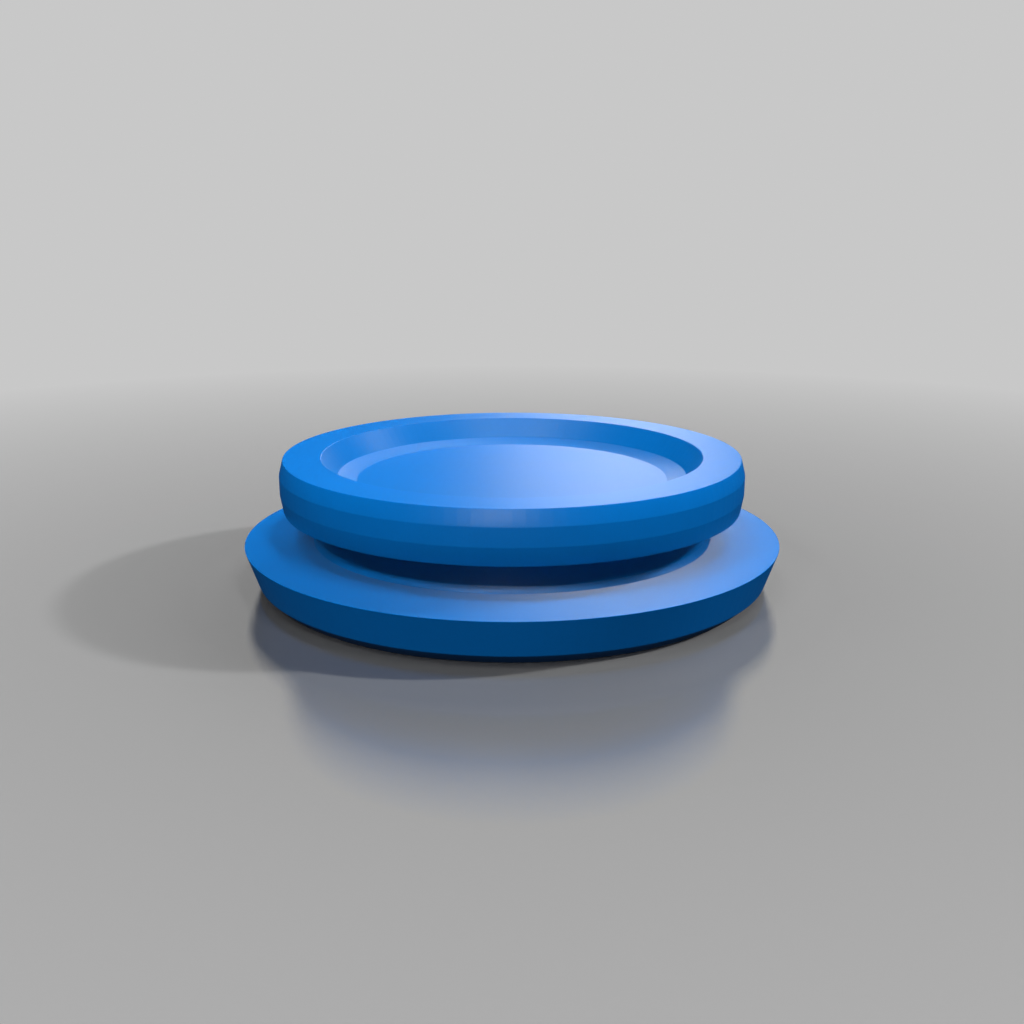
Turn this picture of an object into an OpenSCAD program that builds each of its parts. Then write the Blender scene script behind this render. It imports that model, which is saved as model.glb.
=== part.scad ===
// Floor drain plug
//
// One moulded piece, a single solid of revolution. It is pushed into a round
// hole in a floor panel: the head stays on one side and seals the hole, the
// panel's edge sits in the groove round the neck, and the snap bead holds the
// plug from the other side. The bead's end face carries a shallow dish.
//
// The plug stands on its head: z = 0 is the head's flat outer face, and the
// axis runs up through the neck to the rim round the dish. Millimetres.

/* [Head] */
// Diameter of the head at its widest edge, which lies on the panel
head_d = 32.94; // [31:0.02:40]
// Thickness of the head
head_h = 2.72; // [1.6:0.02:5]
// Lean of the head's side, outwards from the foot to the panel, in degrees
side_flare = 18.7; // [0:0.1:30]
// Height of the bevel round the head's outer face
foot_bevel_h = 0.59; // [0.1:0.01:1.2]
// Width of the bevel round the head's outer face
foot_bevel_w = 0.66; // [0.1:0.01:2]

/* [Neck] */
// Diameter of the neck, which passes through the hole
neck_d = 24.05; // [20:0.05:27]
// Clear height of the groove between the head and the bead
groove_h = 2.03; // [1:0.01:4]
// Size of the 45 degree bevel in the corner between head and neck
neck_bevel = 0.3; // [0.05:0.01:0.8]

/* [Snap bead] */
// Diameter of the bead across its land, its widest band
bead_d = 28.45; // [27.8:0.05:30.6]
// Height of the band under the land, which leans in towards the panel
back_h = 1.055; // [0.4:0.005:2]
// How far that band leans in
back_w = 0.175; // [0:0.005:0.3]
// Height of the land
land_h = 1.07; // [0.4:0.005:2]
// Height of the lead-in band over the land, which finds the hole
lead_h = 0.91; // [0.4:0.005:2]
// How far the lead-in band leans in
lead_w = 0.235; // [0:0.005:0.6]

/* [Dish] */
// Width of the flat rim round the dish
rim_w = 2.29; // [0.6:0.01:5]
// Depth of the dish's sloping wall
wall_h = 1.21; // [0.3:0.01:1.8]
// Width of that wall, seen from the end
wall_w = 0.965; // [0.1:0.005:2.5]
// Fall of the shallow ring between the wall and the flat floor
ring_h = 0.295; // [0.05:0.005:0.8]
// Width of that ring
ring_w = 1.165; // [0.2:0.005:3]

/* [Hidden] */

// Flats round the circumference of the moulding
facets = 128;

// Radii of the head
head_r = head_d / 2;
side_foot_r = head_r - (head_h - foot_bevel_h) * tan(side_flare);
foot_r = side_foot_r - foot_bevel_w;

// Neck and groove
neck_r = neck_d / 2;
bead_z = head_h + groove_h;

// Bead, from its underside to the rim
bead_r = bead_d / 2;
land_z = bead_z + back_h;
lead_z = land_z + land_h;
rim_z = lead_z + lead_h;
rim_r = bead_r - lead_w;

// Dish, from the rim's inner edge to its flat floor
dish_r = rim_r - rim_w;
wall_foot_r = dish_r - wall_w;
floor_r = wall_foot_r - ring_w;
wall_foot_z = rim_z - wall_h;
floor_z = wall_foot_z - ring_h;

// Half sections as [radius, height] points, each running on from the last

// Head: flat outer face, foot bevel, flared side
function head_section() = [
    [0, 0],
    [foot_r, 0],
    [side_foot_r, foot_bevel_h],
    [head_r, head_h]
];

// Groove: sealing face of the head, corner bevel, neck
function groove_section() = [
    [neck_r + neck_bevel, head_h],
    [neck_r, head_h + neck_bevel],
    [neck_r, bead_z]
];

// Bead: square underside, band leaning in, land, lead-in band
function bead_section() = [
    [bead_r - back_w, bead_z],
    [bead_r, land_z],
    [bead_r, lead_z],
    [rim_r, rim_z]
];

// Dish: flat rim, sloping wall, shallow ring, flat floor
function dish_section() = [
    [dish_r, rim_z],
    [wall_foot_r, wall_foot_z],
    [floor_r, floor_z],
    [0, floor_z]
];

module plug() {
    color("#1485EB")
        rotate_extrude($fn = facets)
            polygon(concat(head_section(), groove_section(), bead_section(), dish_section()));
}

plug();
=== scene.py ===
"""Looks of a floor drain plug, moulded in one piece of satin blue plastic.

The plug stands on its head. From the floor up it has a bevelled foot, the flared side of
the head, the flat sealing face, a neck with a groove round it, the three bands of the
snap bead, a flat rim and a shallow dish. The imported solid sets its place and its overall
size; the piece made here repeats its section with flats round the moulding and softened
edges, and stands for it.
"""
import logging
import math
from dataclasses import dataclass
from enum import Enum
from typing import ClassVar

import bmesh
import bpy
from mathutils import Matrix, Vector


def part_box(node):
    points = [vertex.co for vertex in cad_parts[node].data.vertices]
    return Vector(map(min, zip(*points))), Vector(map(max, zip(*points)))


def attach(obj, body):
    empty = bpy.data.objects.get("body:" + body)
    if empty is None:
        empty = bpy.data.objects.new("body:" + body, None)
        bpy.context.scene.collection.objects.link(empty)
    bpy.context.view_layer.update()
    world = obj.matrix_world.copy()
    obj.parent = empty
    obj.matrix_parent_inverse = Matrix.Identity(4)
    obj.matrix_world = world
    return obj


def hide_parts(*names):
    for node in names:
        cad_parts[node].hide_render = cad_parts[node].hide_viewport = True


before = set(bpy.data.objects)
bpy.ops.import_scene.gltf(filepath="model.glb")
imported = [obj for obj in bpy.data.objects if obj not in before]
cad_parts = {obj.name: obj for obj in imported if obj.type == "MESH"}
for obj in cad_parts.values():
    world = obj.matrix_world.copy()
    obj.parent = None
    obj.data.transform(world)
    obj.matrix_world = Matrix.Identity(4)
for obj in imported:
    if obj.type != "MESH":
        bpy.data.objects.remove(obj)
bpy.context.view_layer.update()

MM = 0.001  # metres in a millimetre
WHITE = (1.0, 1.0, 1.0, 1.0)

log = logging.getLogger("drain_plug")


# ---------------------------------------------------------------------------
# Shader graphs
# ---------------------------------------------------------------------------


class Signal:
    """A number that varies over a surface, with arithmetic that adds Math nodes."""

    def __init__(self, graph: "Graph", socket: bpy.types.NodeSocket) -> None:
        """Wraps an output socket.

        Args:
            graph: The graph that the socket belongs to.
            socket: The output that carries the number.
        """
        self.graph = graph
        self.socket = socket

    def _math(self, operation: str, first: "Signal | float", second: "Signal | float") -> "Signal":
        """Adds a Math node.

        Args:
            operation: The node's operation.
            first: Its first value or link.
            second: Its second value or link.

        Returns:
            The node's result.
        """
        return self.graph.node("ShaderNodeMath", {"operation": operation}, {0: first, 1: second})

    def __add__(self, other: "Signal | float") -> "Signal":
        """Returns self + other."""
        return self._math("ADD", self, other)

    def __radd__(self, other: float) -> "Signal":
        """Returns other + self."""
        return self._math("ADD", other, self)

    def __sub__(self, other: "Signal | float") -> "Signal":
        """Returns self - other."""
        return self._math("SUBTRACT", self, other)

    def __rsub__(self, other: float) -> "Signal":
        """Returns other - self."""
        return self._math("SUBTRACT", other, self)

    def __mul__(self, other: "Signal | float") -> "Signal":
        """Returns self * other."""
        return self._math("MULTIPLY", self, other)

    def __lt__(self, other: "Signal | float") -> "Signal":
        """Returns 1 where self is less than other, and 0 elsewhere."""
        return self._math("LESS_THAN", self, other)

    def __gt__(self, other: "Signal | float") -> "Signal":
        """Returns 1 where self is greater than other, and 0 elsewhere."""
        return self._math("GREATER_THAN", self, other)


class Graph:
    """The node tree of one material, of the world or of a lamp."""

    OUTPUTS = {
        "Material": "ShaderNodeOutputMaterial",
        "World": "ShaderNodeOutputWorld",
        "SunLight": "ShaderNodeOutputLight",
    }

    def __init__(self, owner: bpy.types.Material | bpy.types.World | bpy.types.Light) -> None:
        """Starts an empty tree.

        Args:
            owner: What the tree belongs to.
        """
        owner.use_nodes = True
        self.owner = owner
        self.tree = owner.node_tree
        self.tree.nodes.clear()

    def node(self, kind: str, settings: dict | None = None, inputs: dict | None = None,
             output: int | str | None = 0) -> Signal | None:
        """Adds a node, with its settings first and then its inputs.

        Args:
            kind: The node's type.
            settings: Attributes of the node.
            inputs: Values or signals, by the socket's name or number.
            output: The output that is wanted, by name or number.

        Returns:
            The wanted output, if one is wanted.
        """
        made = self.tree.nodes.new(kind)
        for name, value in (settings or {}).items():
            setattr(made, name, value)
        for key, value in (inputs or {}).items():
            if isinstance(value, Signal):
                self.tree.links.new(value.socket, made.inputs[key])
            else:
                made.inputs[key].default_value = value
        return None if output is None else Signal(self, made.outputs[output])

    def place(self) -> Signal:
        """Finds the point on the piece.

        Returns:
            The point, in metres.
        """
        return self.node("ShaderNodeTexCoord", output="Object")

    def scale(self, vector: Signal, factor: Signal | float) -> Signal:
        """Scales a vector or a colour.

        Args:
            vector: The vector.
            factor: What it is multiplied by.

        Returns:
            The scaled vector.
        """
        return self.node("ShaderNodeVectorMath", {"operation": "SCALE"}, {0: vector, "Scale": factor})

    def length(self, vector: Signal) -> Signal:
        """Measures a vector.

        Args:
            vector: The vector.

        Returns:
            Its length.
        """
        return self.node("ShaderNodeVectorMath", {"operation": "LENGTH"}, {0: vector}, output="Value")

    def noise(self, size: float, detail: float, roughness: float = 0.5) -> Signal:
        """Adds noise that is centred on zero.

        Args:
            size: The size of one blotch, in metres.
            detail: How many finer layers it has.
            roughness: How strong the finer layers are.

        Returns:
            Noise from about -0.5 to 0.5.
        """
        settings = {"noise_dimensions": "3D"}
        inputs = {"Vector": self.place(), "Scale": 1 / size, "Detail": detail, "Roughness": roughness}
        return self.node("ShaderNodeTexNoise", settings, inputs) - 0.5

    def blend(self, factor: Signal | float, first: tuple | Signal, second: tuple | Signal) -> Signal:
        """Mixes two colours.

        Args:
            factor: Share of the second colour.
            first: Colour at a factor of 0.
            second: Colour at a factor of 1.

        Returns:
            The mixed colour.
        """
        inputs = {"Factor": factor, 6: first, 7: second}
        return self.node("ShaderNodeMix", {"data_type": "RGBA"}, inputs, output=2)

    def finish(self, shader: Signal) -> bpy.types.ID:
        """Ends the graph.

        Args:
            shader: What the surface shows.

        Returns:
            What the tree belongs to.
        """
        self.node(self.OUTPUTS[type(self.owner).__name__], inputs={"Surface": shader}, output=None)
        return self.owner


# ---------------------------------------------------------------------------
# Finishes
# ---------------------------------------------------------------------------


@dataclass(frozen=True)
class SatinPlastic:
    """Moulded plastic with the fine, even texture that a blasted mould leaves."""

    dish_radius: float
    bead_foot: float
    colour: tuple[float, float, float] = (0.001, 0.24, 0.83)
    colour_drift: float = 0.06
    drift_size: float = 5.0 * MM
    gloss: float = 0.5
    roughness: float = 0.37
    roughness_drift: float = 0.05
    grain_size: float = 0.11 * MM
    grain_height: float = 0.004 * MM
    grain_strength: float = 0.5
    grain_contrast: float = 0.6
    noise_detail: float = 3.0
    # painted shade: the dish's colour is darkened by this share, for the shade that falls in the recess
    dish_shade: float = 0.05

    def dish(self, graph: Graph) -> Signal:
        """Marks the dish, where painted shade darkens the colour a little so that the rim's inner edge
        shows.

        Args:
            graph: The material's graph.

        Returns:
            The share of its colour that the painted shade takes away.
        """
        height = graph.node("ShaderNodeSeparateXYZ", inputs={0: graph.place()}, output="Z")
        across = graph.node("ShaderNodeVectorMath", {"operation": "MULTIPLY"}, {
            0: graph.place(),
            1: (1, 1, 0),
        })
        inside = graph.length(across) < self.dish_radius
        return inside * (height > self.bead_foot) * self.dish_shade

    def material(self, name: str) -> bpy.types.Material:
        """Builds the material.

        Args:
            name: The material's name.

        Returns:
            The material.
        """
        graph = Graph(bpy.data.materials.new(name))
        drift = graph.noise(self.drift_size, self.noise_detail)
        grain = graph.noise(self.grain_size, self.noise_detail, self.grain_contrast)
        deep = tuple(c * (1 - self.colour_drift) for c in self.colour) + (1.0,)
        light = tuple(c * (1 + self.colour_drift) for c in self.colour) + (1.0,)
        tone = graph.blend(drift + grain + 0.5, deep, light)
        bump = graph.node("ShaderNodeBump", inputs={
            "Strength": self.grain_strength,
            "Distance": self.grain_height,
            "Height": grain,
        })
        shader = graph.node("ShaderNodeBsdfPrincipled", inputs={
            # the colour is darkened in the dish by painted shade
            "Base Color": graph.scale(tone, 1 - self.dish(graph)),
            "Roughness": self.roughness + drift * self.roughness_drift + grain * self.roughness_drift,
            "Specular IOR Level": self.gloss,
            "Normal": bump,
        })
        return graph.finish(shader)


@dataclass(frozen=True)
class PaleFloor:
    """A plain grey floor with a soft polish, which fades into the backdrop."""

    backdrop: float
    grey: float = 0.14
    fade_start: float = 20 * MM
    fade_end: float = 100 * MM
    polish: float = 0.3
    haze: float = 0.1
    haze_scale: float = 1e6  # grains of haze in a metre

    def material(self, name: str) -> bpy.types.Material:
        """Builds the material.

        Args:
            name: The material's name.

        Returns:
            The material.
        """
        graph = Graph(bpy.data.materials.new(name))
        camera = graph.node("ShaderNodeLightPath", output="Is Camera Ray")
        grey = (self.grey, self.grey, self.grey, 1.0)
        matte = graph.node("ShaderNodeBsdfDiffuse", inputs={"Color": grey})
        mirror = graph.node("ShaderNodeBsdfGlossy", inputs={
            "Color": WHITE,
            "Roughness": 0.0,
            "Normal": self.scatter(graph),
        })
        near = graph.node("ShaderNodeMixShader", inputs={0: camera * self.polish, 1: matte, 2: mirror})
        far = graph.node("ShaderNodeEmission", inputs={"Color": WHITE, "Strength": self.backdrop})
        fade = graph.node("ShaderNodeMapRange", inputs={
            "Value": graph.length(graph.place()),
            "From Min": self.fade_start,
            "From Max": self.fade_end,
        })
        return graph.finish(graph.node("ShaderNodeMixShader", inputs={0: fade * camera, 1: near, 2: far}))

    def scatter(self, graph: Graph) -> Signal:
        """Leans the floor's normals a little at random, finer than the eye can see.

        Args:
            graph: The material's graph.

        Returns:
            The normals.
        """
        fine = graph.scale(graph.place(), self.haze_scale)
        settings = {"noise_dimensions": "3D"}
        lean = graph.node("ShaderNodeTexWhiteNoise", settings, {"Vector": fine}, output="Color")
        upright = (-self.haze / 2, -self.haze / 2, 1.0)
        leaning = graph.node("ShaderNodeVectorMath", {"operation": "MULTIPLY_ADD"}, {
            0: lean,
            1: (self.haze, self.haze, 0.0),
            2: upright,
        })
        return graph.node("ShaderNodeVectorMath", {"operation": "NORMALIZE"}, {0: leaning})


# ---------------------------------------------------------------------------
# The moulding
# ---------------------------------------------------------------------------


@dataclass(frozen=True)
class Ring:
    """One edge ring of the moulding, in millimetres."""

    radius: float
    height: float


@dataclass
class DrainPlug:
    """The one-piece plug. Sizes are in millimetres, from the floor up."""

    head_radius: float
    plug_height: float
    flats: int = 128
    head_height: float = 2.72
    foot_bevel_height: float = 0.59
    foot_bevel_width: float = 0.66
    side_run: float = 0.721
    neck_radius: float = 12.025
    neck_bevel: float = 0.3
    groove_height: float = 2.03
    bead_radius: float = 14.225
    back_height: float = 1.055
    back_width: float = 0.175
    land_height: float = 1.07
    lead_width: float = 0.235
    rim_width: float = 2.29
    wall_height: float = 1.21
    wall_width: float = 0.965
    ring_height: float = 0.295
    ring_width: float = 1.165
    edge_radius: float = 0.035
    edge_segments: int = 3
    height_slack: float = 1e-4
    radius_slack: float = 1e-3
    bearing_slack: float = 1e-3  # radians

    @property
    def bead_foot(self) -> float:
        """Height of the bead's underside."""
        return self.head_height + self.groove_height

    @property
    def rim_radius(self) -> float:
        """Outer radius of the flat rim."""
        return self.bead_radius - self.lead_width

    @property
    def dish_radius(self) -> float:
        """Radius of the dish at the rim."""
        return self.rim_radius - self.rim_width

    def section(self) -> list[Ring]:
        """Works out the section of the moulding.

        Returns:
            The edge rings, from the foot round the outside to the dish's floor.
        """
        side_foot = self.head_radius - self.side_run
        land_foot = self.bead_foot + self.back_height
        wall_foot = self.dish_radius - self.wall_width
        wall_foot_height = self.plug_height - self.wall_height
        return [
            Ring(side_foot - self.foot_bevel_width, 0.0),
            Ring(side_foot, self.foot_bevel_height),
            Ring(self.head_radius, self.head_height),
            Ring(self.neck_radius + self.neck_bevel, self.head_height),
            Ring(self.neck_radius, self.head_height + self.neck_bevel),
            Ring(self.neck_radius, self.bead_foot),
            Ring(self.bead_radius - self.back_width, self.bead_foot),
            Ring(self.bead_radius, land_foot),
            Ring(self.bead_radius, land_foot + self.land_height),
            Ring(self.rim_radius, self.plug_height),
            Ring(self.dish_radius, self.plug_height),
            Ring(wall_foot, wall_foot_height),
            Ring(wall_foot - self.ring_width, wall_foot_height - self.ring_height),
        ]

    def build(self) -> bpy.types.Object:
        """Models the plug from a disc, extruding it ring by ring.

        Returns:
            The finished piece.
        """
        rings = self.section()
        bpy.ops.object.select_all(action="DESELECT")
        bpy.ops.mesh.primitive_circle_add(
            vertices=self.flats, radius=rings[0].radius, fill_type="NGON", location=(0, 0, 0))
        plug = bpy.context.object
        plug.name = plug.data.name = "drain_plug"
        bpy.ops.object.mode_set(mode="EDIT")
        bpy.ops.mesh.select_mode(type="FACE")
        bpy.ops.mesh.select_all(action="SELECT")
        for below, above in zip(rings, rings[1:]):
            self.extrude(below, above)
        bpy.ops.mesh.select_all(action="SELECT")
        bpy.ops.mesh.normals_make_consistent(inside=False)
        self.soften(plug)
        self.mark_flats(plug)
        bpy.ops.mesh.select_all(action="SELECT")
        bpy.ops.transform.resize(value=(MM, MM, MM), center_override=(0, 0, 0))
        bpy.ops.object.mode_set(mode="OBJECT")
        bpy.ops.object.modifier_add(type="WEIGHTED_NORMAL")
        plug.modifiers["WeightedNormal"].keep_sharp = True
        bpy.ops.object.modifier_apply(modifier="WeightedNormal")
        return plug

    @staticmethod
    def extrude(below: Ring, above: Ring) -> None:
        """Extrudes the selected face to the next ring.

        Args:
            below: The ring that the face lies on.
            above: The ring that it moves to.
        """
        rise = above.height - below.height
        scale = above.radius / below.radius
        bpy.ops.mesh.extrude_region_move(TRANSFORM_OT_translate={"value": (0, 0, rise)})
        bpy.ops.transform.resize(value=(scale, scale, 1), center_override=(0, 0, above.height))

    def soften(self, plug: bpy.types.Object) -> None:
        """Rounds every edge ring a little.

        Args:
            plug: The piece, in edit mode.
        """
        bpy.ops.mesh.select_mode(type="EDGE")
        bpy.ops.mesh.select_all(action="DESELECT")
        mesh = bmesh.from_edit_mesh(plug.data)
        for edge in mesh.edges:
            edge.select_set(self.lies_on_ring(edge))
        bmesh.update_edit_mesh(plug.data)
        bpy.ops.mesh.bevel(
            offset=self.edge_radius, segments=self.edge_segments, affect="EDGES", clamp_overlap=True)

    def lies_on_ring(self, edge: bmesh.types.BMEdge) -> bool:
        """Tells whether an edge runs round the moulding.

        Args:
            edge: The edge.

        Returns:
            True if its ends share their height and their radius.
        """
        first, second = (vertex.co for vertex in edge.verts)
        same_height = abs(first.z - second.z) < self.height_slack
        same_radius = abs(first.xy.length - second.xy.length) < self.radius_slack
        return same_height and same_radius

    def divides_flats(self, edge: bmesh.types.BMEdge) -> bool:
        """Tells whether an edge lies between two flats.

        Args:
            edge: The edge.

        Returns:
            True if it runs along the section, with both ends on one bearing.
        """
        first, second = (vertex.co for vertex in edge.verts)
        same_bearing = abs(first.xy.angle_signed(second.xy)) < self.bearing_slack
        return same_bearing and not self.lies_on_ring(edge)

    def mark_flats(self, plug: bpy.types.Object) -> None:
        """Shades the piece smooth along its section and keeps the flats round it.

        Args:
            plug: The piece, in edit mode.
        """
        bpy.ops.mesh.select_all(action="SELECT")
        bpy.ops.mesh.faces_shade_smooth()
        bpy.ops.mesh.select_all(action="DESELECT")
        mesh = bmesh.from_edit_mesh(plug.data)
        for edge in mesh.edges:
            edge.select_set(self.divides_flats(edge))
        bmesh.update_edit_mesh(plug.data)
        bpy.ops.mesh.mark_sharp()


# ---------------------------------------------------------------------------
# The studio
# ---------------------------------------------------------------------------


class Reach(Enum):
    """What a lamp adds to the scene."""

    COLOUR = "lights the colour of every surface and casts a shadow"
    FLOOR = "lights the floor alone and casts the plug's shadow"
    SHEEN = "lays a highlight on glossy surfaces and casts no shadow"
    GLINT = "lays a highlight on glossy surfaces and casts a shadow"


@dataclass(frozen=True)
class Lamp:
    """A soft lamp that shines from far off, by its bearing from the back and its height.

    A lamp is sampled by its rating, and shines with its power. A weak lamp that gives a strong
    highlight is rated higher than it shines, so that the highlight comes out smooth.
    """

    TRACE: ClassVar[float] = 1e-6  # light too faint to see, which keeps the level a link

    name: str
    azimuth: float
    elevation: float
    power: float
    spread: float
    reach: Reach = Reach.COLOUR
    rating: float | None = None

    def build(self, floor_alone: bpy.types.Collection) -> bpy.types.Object:
        """Adds the lamp.

        Args:
            floor_alone: The collection that holds the floor and nothing else.

        Returns:
            The lamp's object.
        """
        turn, lift = math.radians(self.azimuth), math.radians(self.elevation)
        towards = Vector((math.sin(turn) * math.cos(lift), math.cos(turn) * math.cos(lift), math.sin(lift)))
        data = bpy.data.lights.new(self.name, "SUN")
        data.energy = self.rating or self.power
        data.angle = math.radians(self.spread)
        data.cycles.use_multiple_importance_sampling = False
        lamp = bpy.data.objects.new(self.name, data)
        lamp.rotation_mode = "QUATERNION"
        lamp.rotation_quaternion = towards.to_track_quat("Z", "Y")
        bpy.context.collection.objects.link(lamp)
        if self.rating:
            self.dim(data)
        lamp.visible_glossy = self.reach in (Reach.SHEEN, Reach.GLINT)
        lamp.visible_diffuse = not lamp.visible_glossy
        data.use_shadow = self.reach is not Reach.SHEEN
        if self.reach is Reach.FLOOR:
            lamp.light_linking.receiver_collection = floor_alone
        return lamp

    def dim(self, data: bpy.types.Light) -> None:
        """Dims the lamp from its rating to its power.

        Args:
            data: The lamp's data.
        """
        graph = Graph(data)
        trace = graph.node("ShaderNodeLightPath", output="Is Camera Ray") * self.TRACE
        graph.finish(graph.node("ShaderNodeEmission", inputs={"Strength": trace + self.power / self.rating}))


def row_of_lamps(name: str, azimuths: tuple[float, ...], **shared: float | Reach) -> list[Lamp]:
    """Makes lamps that differ only in their bearing.

    Args:
        name: Their name, to which each bearing is added.
        azimuths: Their bearings from the back, in degrees.
        shared: What else they have in common, as for Lamp.

    Returns:
        The lamps.
    """
    return [Lamp(f"{name}_{azimuth}", azimuth, **shared) for azimuth in azimuths]


@dataclass
class Studio:
    """Floor, backdrop, lamps and camera round the plug."""

    backdrop: float = 0.578
    dome: float = 0.006
    gloss_dome: float = 0.012
    floor_radius: float = 3.0
    floor_sides: int = 96
    lens: float = 39.38
    camera_distance: float = 70.45 * MM
    camera_elevation: float = 14.93
    nearest_seen: float = 1 * MM
    farthest_seen: float = 100.0
    lamps: tuple[Lamp, ...] = (
        Lamp("key", azimuth=80, elevation=31, power=1.05, spread=6),
        Lamp("floor_key", azimuth=80, elevation=30, power=4.2, spread=3, reach=Reach.FLOOR),
        Lamp("back_fill", azimuth=30, elevation=40, power=1.0, spread=25),
        Lamp("low_back_fill", azimuth=0, elevation=22, power=1.0, spread=25),
        Lamp("left_fill", azimuth=270, elevation=40, power=0.25, spread=25),
        Lamp("low_front_fill", azimuth=180, elevation=6, power=0.12, spread=25),
        *row_of_lamps("top_fill", (135, 225), elevation=70, power=0.52, spread=10),
        *row_of_lamps("front_fill", (150, 195, 225), elevation=41, power=0.47, spread=7),
        Lamp("front_glint", azimuth=187, elevation=23, power=0.6, spread=22, reach=Reach.GLINT),
        Lamp("right_sheen", azimuth=55, elevation=41, power=0.19, rating=1.0, spread=12, reach=Reach.SHEEN),
        Lamp("back_sheen", azimuth=7, elevation=41, power=0.12, rating=1.0, spread=12, reach=Reach.SHEEN),
        Lamp(
            "mid_back_sheen", azimuth=9, elevation=18, power=0.045, rating=1.0, spread=12,
            reach=Reach.SHEEN),
        Lamp("low_back_sheen", azimuth=5, elevation=13, power=0.1, rating=3.0, spread=12, reach=Reach.SHEEN),
        *row_of_lamps("top_sheen", (150, 210), elevation=72, power=0.25, spread=12, reach=Reach.SHEEN),
        *row_of_lamps("side_sheen", (80, 270), elevation=72, power=0.14, spread=12, reach=Reach.SHEEN),
    )

    def build(self, piece: bpy.types.Object, middle: Vector) -> None:
        """Builds everything round the plug.

        Args:
            piece: The plug.
            middle: The middle of the plug's box.
        """
        piece.visible_diffuse = False  # its blue is not cast on the floor or on itself
        floor_alone = bpy.data.collections.new("floor_alone")
        floor_alone.objects.link(self.build_floor())
        self.build_backdrop()
        for lamp in self.lamps:
            lamp.build(floor_alone)
        self.build_camera(middle)
        bpy.context.scene.view_settings.view_transform = "Standard"

    def build_floor(self) -> bpy.types.Object:
        """Adds the floor that the plug stands on.

        Returns:
            The floor.
        """
        bpy.ops.object.select_all(action="DESELECT")
        bpy.ops.mesh.primitive_circle_add(
            vertices=self.floor_sides, radius=self.floor_radius, fill_type="NGON")
        floor = bpy.context.object
        floor.name = "floor"
        floor.data.materials.append(PaleFloor(self.backdrop).material("pale_floor"))
        floor.visible_diffuse = floor.visible_glossy = False  # the plug is not lit or mirrored by it
        return floor

    def build_backdrop(self) -> None:
        """Sets the world: pale to the eye and in the floor's mirror, and a dim dome for light."""
        world = bpy.data.worlds.new("studio")
        graph = Graph(world)
        camera = graph.node("ShaderNodeLightPath", output="Is Camera Ray")
        glossy = graph.node("ShaderNodeLightPath", output="Is Glossy Ray")
        mirror = graph.node("ShaderNodeLightPath", output="Is Singular Ray") * glossy
        level = (camera * (self.backdrop - self.dome) + glossy * (self.gloss_dome - self.dome)
                 + mirror * (self.backdrop - self.gloss_dome) + self.dome)
        graph.finish(graph.node("ShaderNodeBackground", inputs={"Color": WHITE, "Strength": level}))
        bpy.context.scene.world = world

    def build_camera(self, middle: Vector) -> None:
        """Adds the camera and points it at the plug's middle.

        Args:
            middle: The middle of the plug's box.
        """
        lift = math.radians(self.camera_elevation)
        back = Vector((0, -math.cos(lift), math.sin(lift)))
        data = bpy.data.cameras.new("camera")
        data.lens = self.lens
        data.clip_start = self.nearest_seen
        data.clip_end = self.farthest_seen
        camera = bpy.data.objects.new("camera", data)
        camera.location = middle + back * self.camera_distance
        camera.rotation_euler = (math.pi / 2 - lift, 0, 0)
        bpy.context.collection.objects.link(camera)
        bpy.context.scene.camera = camera


def main() -> None:
    """Builds the plug, then the studio round it."""
    logging.basicConfig(level=logging.INFO, format="%(message)s")
    low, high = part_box("plug")
    plug = DrainPlug(head_radius=(high[0] - low[0]) / 2 / MM, plug_height=(high[2] - low[2]) / MM)
    piece = plug.build()
    plastic = SatinPlastic(dish_radius=plug.dish_radius * MM, bead_foot=plug.bead_foot * MM)
    piece.data.materials.append(plastic.material("satin_blue_plastic"))
    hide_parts("plug")
    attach(piece, "root")
    log.info("%s: %d faces", piece.name, len(piece.data.polygons))
    Studio().build(piece, (Vector(low) + Vector(high)) / 2)


if __name__ == "__main__":
    main()
